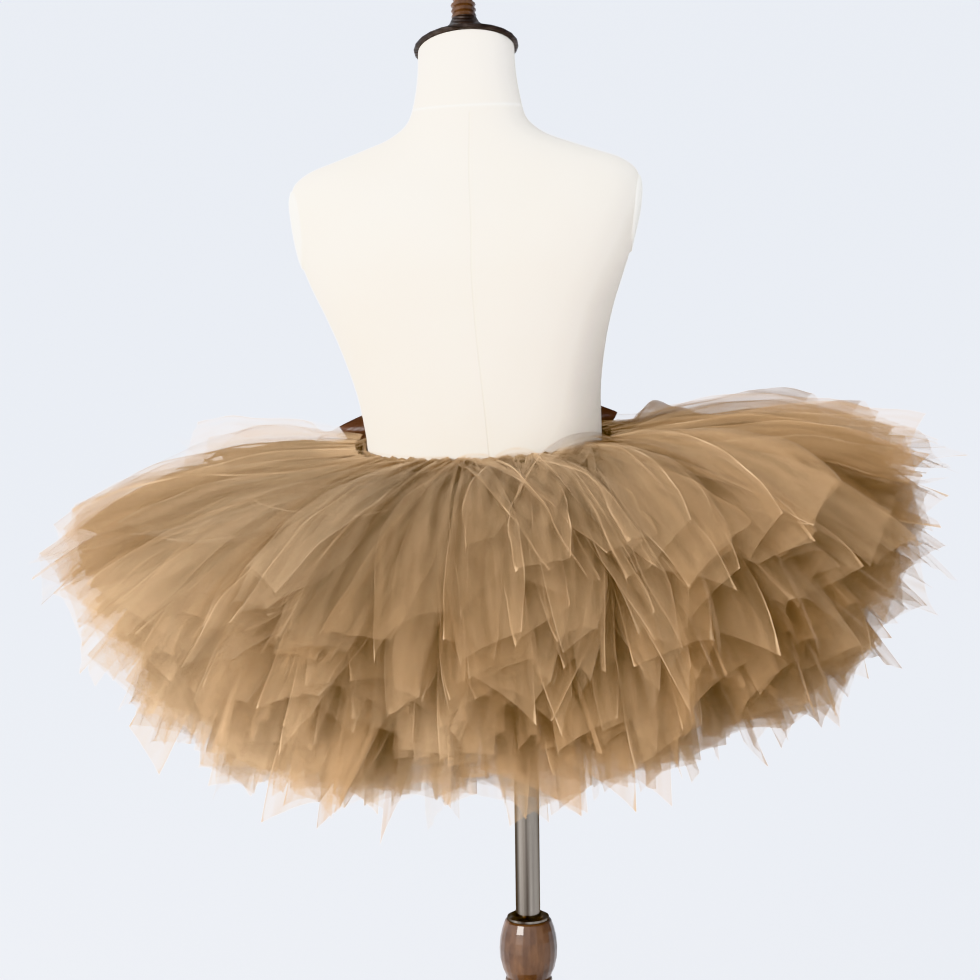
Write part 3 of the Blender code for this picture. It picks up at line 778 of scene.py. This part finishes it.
def strips_object(name, grids, material):
    """One object from the tails' grids, in the form's frame."""
    points = np.concatenate([grid[0].reshape(-1, 3) for grid in grids])
    points = points @ np.array(FORM_FRAME.to_3x3()).T + np.array(FORM_FRAME.translation)
    corner = np.arange(ROWS * COLS).reshape(ROWS, COLS)
    quad = np.stack([corner[:-1, :-1], corner[1:, :-1], corner[1:, 1:], corner[:-1, 1:]], -1).reshape(-1, 4)
    quads = np.concatenate([quad + i * ROWS * COLS for i in range(len(grids))])
    mesh = bpy.data.meshes.new(name)
    mesh.vertices.add(len(points))
    mesh.vertices.foreach_set("co", points.ravel())
    mesh.loops.add(quads.size)
    mesh.loops.foreach_set("vertex_index", quads.ravel().astype(np.int32))
    mesh.polygons.add(len(quads))
    mesh.polygons.foreach_set("loop_start", np.arange(0, quads.size, 4, dtype=np.int32))
    mesh.update(calc_edges=True)
    cut = np.concatenate([grid[1].reshape(-1, 2) for grid in grids])
    layer = mesh.uv_layers.new(name="cut")
    layer.data.foreach_set("uv", cut[quads.ravel()].ravel().astype(np.float32))
    for key in TAIL_VALUES:
        add_values(mesh, key, np.concatenate([grid[2][key].ravel() for grid in grids]))
    return add_object(name, mesh, material)


def between(low, high):
    return float(rng.uniform(low, high))


def either_way():
    return 1 if rng.random() < 0.5 else -1


def any_sort():
    """How a tail's cloth lies across it."""
    sort = rng.random()
    if sort < IN_THREE:
        way = either_way()
        if sort < IN_TWO:
            t = dict(folds=between(0.45, 0.6), phase=between(-0.4, 0.4) - math.pi / 2)
            t.update(swing=way * between(1.2, 1.5), lean=between(1.2, 1.5))
            t.update(crisp=between(3, 8), curl=between(-0.4, 0.4))
        else:
            t = dict(folds=between(1.3, 1.6), phase=between(-0.3, 0.3), swing=way * between(1.2, 1.45))
            t.update(lean=between(0.8, 1.4), crisp=between(3, 7), curl=between(-0.5, 0.5))
        t.update(open_by=between(0.8, 1.15), close=between(-0.1, 0.4))
    elif sort < PLEATED:
        t = dict(folds=between(1.2, 3.0), swing=between(1.0, 1.42), crisp=between(2.0, 6.0))
        t.update(curl=between(-0.6, 0.6), open_by=between(0.8, 1.1), close=between(-0.2, 0.3))
    elif sort < CURLED:
        t = dict(folds=between(0.7, 1.5), swing=between(0.4, 0.9), crisp=between(0.6, 2.0))
        t.update(curl=between(1.1, 2.2) * either_way(), open_by=between(0.85, 1.1), close=between(0.1, 0.5))
    else:
        t = dict(folds=between(1.0, 2.2), swing=between(0.7, 1.2), crisp=between(1.0, 3.5))
        t.update(curl=between(-0.7, 0.7), open_by=between(0.75, 1.0), close=between(-0.15, 0.3))
    return t


def any_tail(tier, angle):
    """What a tail of this tier is like: most are folded flat or narrow, and some curl or lie open."""
    level = TIERS.index(tier)
    low = level / (len(TIERS) - 1)
    flank = math.cos(angle)
    right, left = max(0.0, flank), max(0.0, -math.cos(angle - LEFT_TURN))
    front = max(0.0, math.sin(angle))
    front_right = right * front * (1 - low) ** 1.5
    evener = 1 - EVENER_LOW * low
    start = tier.slope_at_band + between(-9, 3)
    start -= FRONT_LOWER[0] * front + FRONT_RIGHT_LOWER[0] * front_right
    end = tier.slope_at_hem + between(-13, 4) + RIGHT_FLATTER[level] * right**2
    end -= FRONT_LOWER[1] * front + FRONT_RIGHT_LOWER[1] * front_right + SAG[level] * near(angle, *SAGGING)
    t = dict(
        angle=angle,
        seat=tier.seat + between(-10, 2) - SEAT_LOWER * near(angle, *TIED_LOW),
        start=start,
        end=end,
        length=tier.length + between(-0.03, 0.0) * evener + RIGHT_LONGER[level] * right,
        aim=between(-18, 18),
        veer=between(-12, 12),
        phase=between(0, math.tau),
        turn=between(-28, 28) + FLANKS_TURN * flank * (1 - FRONT_UNTURNED * front),
        twist=between(-40, 40),
        slant=between(-0.04, 0.04) * (1 - 0.3 * low),
        corners=(between(0, 0.03) * evener, between(0, 0.03) * evener),
        droop=between(0, 0.010),
    )
    # painted light: paler at the left flank and in the lower tiers, besides a tone that differs at random
    tone = TONE + PAINTED_LIGHT_LEFT * left + TONE_RIGHT * right + PAINTED_LIGHT_LOW * low**2 + between(-0.15, 0.3)
    t["tone"] = min(1.0, max(0.0, tone))
    t["layers"] = tier.layers * between(0.8, 1.25) * (1 + LAYERS_RIGHT * right**2 + LAYERS_LEFT * left)
    t["line"] = between(0.25, 0.9) ** (1 + 1.6 * low)
    t["kinks"] = tuple((between(0.2, 0.8), between(-7, 7), between(-8, 8)) for _ in range(2))
    t.update(any_sort())
    return t


# how the cloth of a placed tail lies across it
KINDS = {
    "doubled": dict(folds=0.5, phase=-math.pi / 2, swing=1.42, lean=1.42, crisp=6.0, open_by=0.95),
    "tripled": dict(folds=1.5, phase=0.0, swing=1.38, lean=1.1, crisp=5.0, open_by=0.85),
    "bunched": dict(folds=2.5, phase=0.4, swing=1.4, lean=0.5, crisp=4.0, open_by=1.0, line=0.75),
    "petal": dict(folds=0.6, swing=0.9, crisp=1.5, curl=1.3, open_by=0.7),
    "cone": dict(folds=0.5, swing=0.3, crisp=1.0, curl=1.9, open_by=1.0),
    "veil": dict(folds=0.9, swing=0.9, crisp=2.0, open_by=0.9, layers=0.6),
}


def hem_on_picture(t):
    return on_picture(middle_line(t)[0][-1])


def aimed(t, tip, by):
    """The tail, with a slope and an aim or a length that bring its hem's middle here in the picture."""
    t = dict(TAIL, **t)
    for _ in range(AIM_ROUNDS):
        here = hem_on_picture(t)
        moves = []
        for key in ("end", by):
            tried = dict(t, **{key: t[key] + AIM_STEP[key]})
            moves.append((hem_on_picture(tried) - here) / AIM_STEP[key])
        change = np.linalg.lstsq(np.array(moves).T, np.array(tip) - here, rcond=0.02)[0]
        for key, amount in zip(("end", by), change):
            t[key] += max(-AIM_MOST[key], min(AIM_MOST[key], float(amount)))
        t["length"] = max(SHORTEST, min(LONGEST, t["length"]))
    return t


def placed_tail(row):
    """The tail of a row of PLACED."""
    tier = TIERS[row.tier - 1]
    angle = math.radians(row.angle)
    pointed = row.by == "aim" and row.angle < POINTED_BELOW
    first_bend = 0.2 + 0.5 * (row.angle * 0.618 % 1)
    t = dict(
        angle=angle,
        seat=tier.seat + PLACED_SEAT,
        start=row.start,
        end=tier.slope_at_hem,
        length=row.length,
        layers=tier.layers,
        crinkle=0.12,
        corners=(0.030, 0.008) if pointed else (0.012, 0.012),
        slant=(0.045 if pointed else 0.025) * row.way,
        # painted light: paler towards the left, where the lamp is
        tone=0.15 + 0.45 * row.tone + 0.3 * max(0.0, -math.cos(angle)),
        line=1.0,
        close=row.close,
        turn=row.turn,
        twist=row.twist,
        phase=row.angle,
        kinks=((first_bend, -4.0 * row.way, 5.0 * row.way), (0.75, 3.0, -5.0 * row.way)),
    )
    t.update(KINDS[row.kind])
    t["swing"] *= row.way
    t["curl"] = t.get("curl", 0.0) * row.way
    t["layers"] *= row.cover
    return aimed(t, (row.tip_x, row.tip_y), row.by)


def make_tulle():
    material = tulle_material()
    for level, tier in enumerate(TIERS, 1):
        own = [placed_tail(row) for row in PLACED if row.tier == level]
        low, high = BARE.get(level, (0, 0))
        for i in range(tier.tails + MORE_RIGHT[level - 1]):
            angle = math.tau * (i + between(-0.35, 0.35)) / tier.tails
            if i >= tier.tails:
                angle = math.radians(between(*FLANK_RIGHT))
            t = any_tail(tier, angle)
            if not low < math.degrees(angle) < high:
                own.append(t)
        piece = strips_object(tier.name + "_strips", [tail_grid(**t) for t in own], material)
        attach(piece, "root")
        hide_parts(tier.name)


# ---- the form ----

FORM_STEPS = 96
FORM_ROWS = 4  # between two of the table's sections
FINER = 3  # times, for the surface that the arm plates lie on
NECK_SEAM = 0.275  # above the waist
NECK_SEAM_SLOPE = 0.12  # lower at the front
PLATE_RINGS = 14
PLATE_STEPS = 64
PLATE_PROUD = 0.0013
PLATE_FLAT = 0.985  # the share of it inside its rounded rim
PLATE_FROM = 0.030  # outside the form, where the rays that find its surface start


def section_ring(section, steps):
    turn = Matrix.Rotation(-math.radians(section.tilt), 3, "X")
    centre = Vector((section.aside, section.forward, section.height))
    points = outline(section, math.tau * np.arange(steps) / steps)
    return [FORM_FRAME @ (centre + turn @ Vector((x, y, 0))) for x, y in points]


def between_sections(count):
    """The table's sections with count steps between each two, on a smooth curve."""
    table = np.array(SECTIONS, float)
    fine = np.linspace(0, len(table) - 1, (len(table) - 1) * count + 1)
    slopes = np.zeros_like(table)
    before, after = table[1:-1] - table[:-2], table[2:] - table[1:-1]
    total = np.where(before + after == 0, 1, before + after)
    slopes[1:-1] = np.where(before * after > 0, 2 * before * after / total, 0)
    slopes[0], slopes[-1] = table[1] - table[0], table[-1] - table[-2]
    i = np.minimum(fine.astype(int), len(table) - 2)
    f = (fine - i)[:, None]
    h = [2 * f**3 - 3 * f**2 + 1, f**3 - 2 * f**2 + f, -2 * f**3 + 3 * f**2, f**3 - f**2]
    rows = h[0] * table[i] + h[1] * slopes[i] + h[2] * table[i + 1] + h[3] * slopes[i + 1]
    return [Section(*row) for row in rows]


def form_shape(rows, steps):
    shape = bmesh.new()
    rings = [[shape.verts.new(p) for p in section_ring(s, steps)] for s in between_sections(rows)]
    for low, high in zip(rings, rings[1:]):
        for i in range(steps):
            j = (i + 1) % steps
            shape.faces.new((low[i], low[j], high[j], high[i]))
    shape.faces.new(rings[0][::-1])
    shape.faces.new(rings[-1])
    return shape


def make_form(material):
    torso = add_object("form_cover", mesh_of(form_shape(FORM_ROWS, FORM_STEPS), "form_cover"), material)
    torso.data.set_sharp_from_angle(angle=math.radians(60))
    add_seams(torso.data)
    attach(torso, "root")
    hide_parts("form_torso")
    finer = form_shape(FORM_ROWS * FINER, FORM_STEPS * FINER)
    surface = BVHTree.FromBMesh(finer)
    finer.free()
    for side, word in ((-1, "left"), (1, "right")):
        make_arm_plate(surface, side, word, material)


def make_arm_plate(surface, side, word, material):
    """The oval plate that closes an armhole: jersey over board, lying on the form with a rounded rim."""
    x, y, z = PLATE_CENTRE
    turn = Matrix.Rotation(side * (math.pi / 2 + PLATE_SLANT), 4, "Y")
    place = FORM_FRAME @ Matrix.Translation((side * x + PLATE_ASIDE, y, z)) @ turn
    inwards = -(place.to_3x3() @ Vector((0, 0, 1)))
    shape = bmesh.new()

    def on_form(share, angle, proud):
        tall, deep = PLATE_HALF_HEIGHT * share * math.cos(angle), PLATE_HALF_DEPTH * share * math.sin(angle)
        outside = place @ Vector((tall, deep, 0)) - inwards * PLATE_FROM
        hit = surface.ray_cast(outside, inwards)[0]
        return shape.verts.new(hit - inwards * proud)

    def ring(share, proud):
        return [on_form(share, math.tau * j / PLATE_STEPS, proud) for j in range(PLATE_STEPS)]

    middle = on_form(0, 0, PLATE_PROUD)
    rings = [ring(i / PLATE_RINGS * PLATE_FLAT, PLATE_PROUD) for i in range(1, PLATE_RINGS + 1)]
    rings.append(ring(1.0, PLATE_PROUD * 0.7))
    rings.append(ring(1.005, -PLATE_PROUD))
    for j in range(PLATE_STEPS):
        k = (j + 1) % PLATE_STEPS
        shape.faces.new((middle, rings[0][j], rings[0][k]))
        for low, high in zip(rings, rings[1:]):
            shape.faces.new((low[j], high[j], high[k], low[k]))
    plate = add_object("arm_plate_" + word + "_cover", mesh_of(shape, "arm_plate_" + word), material)
    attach(plate, "root")
    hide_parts("arm_plate_" + word)


def add_seams(mesh):
    """Each point's distance from the seam down the back and from the seam round the neck's foot."""
    home = FORM_FRAME.inverted()
    points = np.array([home @ v.co for v in mesh.vertices])
    heights = [section.height for section in SECTIONS]
    aside = points[:, 0] - np.interp(points[:, 2], heights, [section.aside for section in SECTIONS])
    far = 1.0  # from the seam, where there is none
    from_back = np.where((points[:, 1] < 0) & (points[:, 2] < NECK_SEAM), aside, far)
    from_neck = points[:, 2] - NECK_SEAM + NECK_SEAM_SLOPE * points[:, 1]
    add_values(mesh, "from_back_seam", from_back)
    add_values(mesh, "from_neck_seam", from_neck)


# ---- the waistband ----

BAND_KNOTS = 58
BAND_STEPS = BAND_KNOTS * 12
BAND_SIDES = 16
BAND_BULGE = 0.0016  # how far the loops stand out of it
BAND_RISE = 0.0022  # and above it
BAND_PUCKER = 0.0004
BAND_LEAN = 0.0010
BAND_SLACK = (0.72, 0.9)  # of its thickness and height, that it has at the gathers


def make_band(material):
    """The elastic under the knots: each strip's loop goes round it and stands out between two gathers."""
    sizes, puckers, leans = rng.uniform(-1, 1, (3, BAND_KNOTS))
    shape = bmesh.new()
    rings = []
    for i in range(BAND_STEPS):
        around = i / BAND_STEPS
        angle = math.tau * around
        knot = int(around * BAND_KNOTS)
        inside = around * BAND_KNOTS - knot
        swell = math.sin(math.pi * inside) ** 0.7
        size = 1 + 0.35 * sizes[knot]
        pucker = math.sin(math.pi * inside * (5 + round(2 * puckers[knot]))) * math.sin(math.pi * inside)
        thick = BAND_THICKNESS * BAND_SLACK[0] + BAND_BULGE * swell * size + BAND_PUCKER * pucker
        tall = BAND_HEIGHT / 2 * BAND_SLACK[1] + BAND_RISE * (swell * size - 0.1) + BAND_PUCKER * pucker
        lean = BAND_LEAN * leans[knot] * swell
        foot = waist_point(np.array(angle))
        out_dir = waist_outwards(np.array(angle))
        ring = []
        for j in range(BAND_SIDES):
            turn = math.tau * j / BAND_SIDES
            out = BAND_INNER + thick / 2 * (1 + math.cos(turn))
            up = BAND_TOP - BAND_HEIGHT / 2 + tall * math.sin(turn) + lean
            ring.append(shape.verts.new(FORM_FRAME @ Vector((*(foot + out_dir * out), up))))
        rings.append(ring)
    for i in range(BAND_STEPS):
        low, high = rings[i], rings[(i + 1) % BAND_STEPS]
        for j in range(BAND_SIDES):
            k = (j + 1) % BAND_SIDES
            shape.faces.new((low[j], high[j], high[k], low[k]))
    band = add_object("waistband_loops", mesh_of(shape, "waistband_loops"), material)
    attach(band, "root")
    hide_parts("waistband")


# ---- the bow ----

LOOP_STEPS = 96
LOOP_ACROSS = 12
LOOP_GATHERS = 0.0011  # how high the small gathers at the knot are
LOOP_HOLLOW = 0.0016
LOOP_RIPPLE = 0.0009
LOOP_FOLD = 0.0024  # how far the crease near a loop's end stands out
LOOP_FOLD_AT = 0.80
LOOP_FOLD_SOFT = 0.24


def loop_point(side, share, across):
    """A point of a bow's loop: share of the way round it from the knot, and -1 to 1 across the ribbon."""
    angle = math.tau * share
    outer = math.sin(angle) > 0
    along = (1 - math.cos(angle)) / 2
    swell = math.sin(math.pi * along**0.75 * 0.62)
    half = RIBBON_WIDTH / 2 * (0.55 + 0.45 * min(1, along * 2.2))
    start = KNOT_SIZE.x / 2 + LOOP_FROM_KNOT
    y = BOW_Y + (LOOP_NECK + (LOOP_DEPTH - LOOP_NECK) * swell) * math.sin(angle)
    gather = LOOP_GATHERS * math.exp(-along / 0.22) * math.sin(across * 8.5 + 1.2 * side)
    hollow = LOOP_HOLLOW * math.sin(math.pi * along) * (1 - across**2) * (1 if outer else -1)
    ripple = LOOP_RIPPLE * math.sin(9 * along + 2.3 * across * side) * along
    from_fold = across - (along - LOOP_FOLD_AT) * 3.2
    fold = LOOP_FOLD * math.exp(-((from_fold / LOOP_FOLD_SOFT) ** 2)) * min(1, max(0, along - 0.5) * 4)
    y += fold * (-1 if math.sin(angle) < 0 else 0.4)
    middle = BOW_Z + LOOP_ARCH * math.sin(math.pi * along) - LOOP_DROOP * along**2
    slant = LOOP_SLANT * max(0, along - 0.5) * 2
    reach = start + along * (LOOP_REACH - start) + (across - 1) * half * slant
    return Vector((side * reach, y + gather + ripple - hollow, middle + across * half))


def make_loop(side, name, material):
    shape = bmesh.new()
    rows = []
    for i in range(LOOP_STEPS + 1):
        row = [loop_point(side, i / LOOP_STEPS, 2 * j / LOOP_ACROSS - 1) for j in range(LOOP_ACROSS + 1)]
        rows.append([shape.verts.new(FORM_FRAME @ p) for p in row])
    for low, high in zip(rows, rows[1:]):
        for j in range(LOOP_ACROSS):
            shape.faces.new((low[j], high[j], high[j + 1], low[j + 1]))
    loop = add_object(name + "_ribbon", mesh_of(shape, name), material)
    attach(loop, "root")
    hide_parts(name)
    line = [loop_point(side, i / LOOP_STEPS, 0) for i in range(LOOP_STEPS + 1)]


def make_bow(material):
    """Two ribbon loops, gathered under a knot."""
    for side, name in ((-1, "bow_loop_left"), (1, "bow_loop_right")):
        make_loop(side, name, material)
    shape = bmesh.new()
    bmesh.ops.create_uvsphere(shape, u_segments=48, v_segments=32, radius=0.5)
    for v in shape.verts:
        x, y, z = v.co
        around = math.atan2(y, x)
        narrower = 1 - 0.25 * abs(2 * z) ** 4
        creases = 1 + 0.07 * math.sin(7 * around + 3 * z) * (1 - 3.2 * z * z) + 0.03 * math.sin(15 * around)
        wide = narrower * creases
        v.co = Vector((x * wide * KNOT_SIZE.x, y * wide * KNOT_SIZE.y, z * 0.96 * KNOT_SIZE.z))
    shape.transform(FORM_FRAME @ Matrix.Translation((0, BOW_Y, BOW_Z)))
    knot = add_object("bow_knot_ribbon", mesh_of(shape, "bow_knot"), material)
    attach(knot, "root")
    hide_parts("bow_knot")


def set_finish(frame, names, material):
    for name in names:
        mesh = frame["nodes"][name].data
        mesh.materials.clear()
        mesh.materials.append(material)


def main():
    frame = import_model()
    make_camera()
    make_studio()
    make_form(linen_material())
    make_tulle()
    make_band(band_material())
    make_bow(satin_material())
    set_finish(frame, ("base", "grip_barrel", "finial"), wood_material())
    set_finish(frame, ("neck_cap",), bronze_material())
    set_finish(frame, ("pole", "grip_collar", "lower_column", "form_socket"), steel_material())


main()
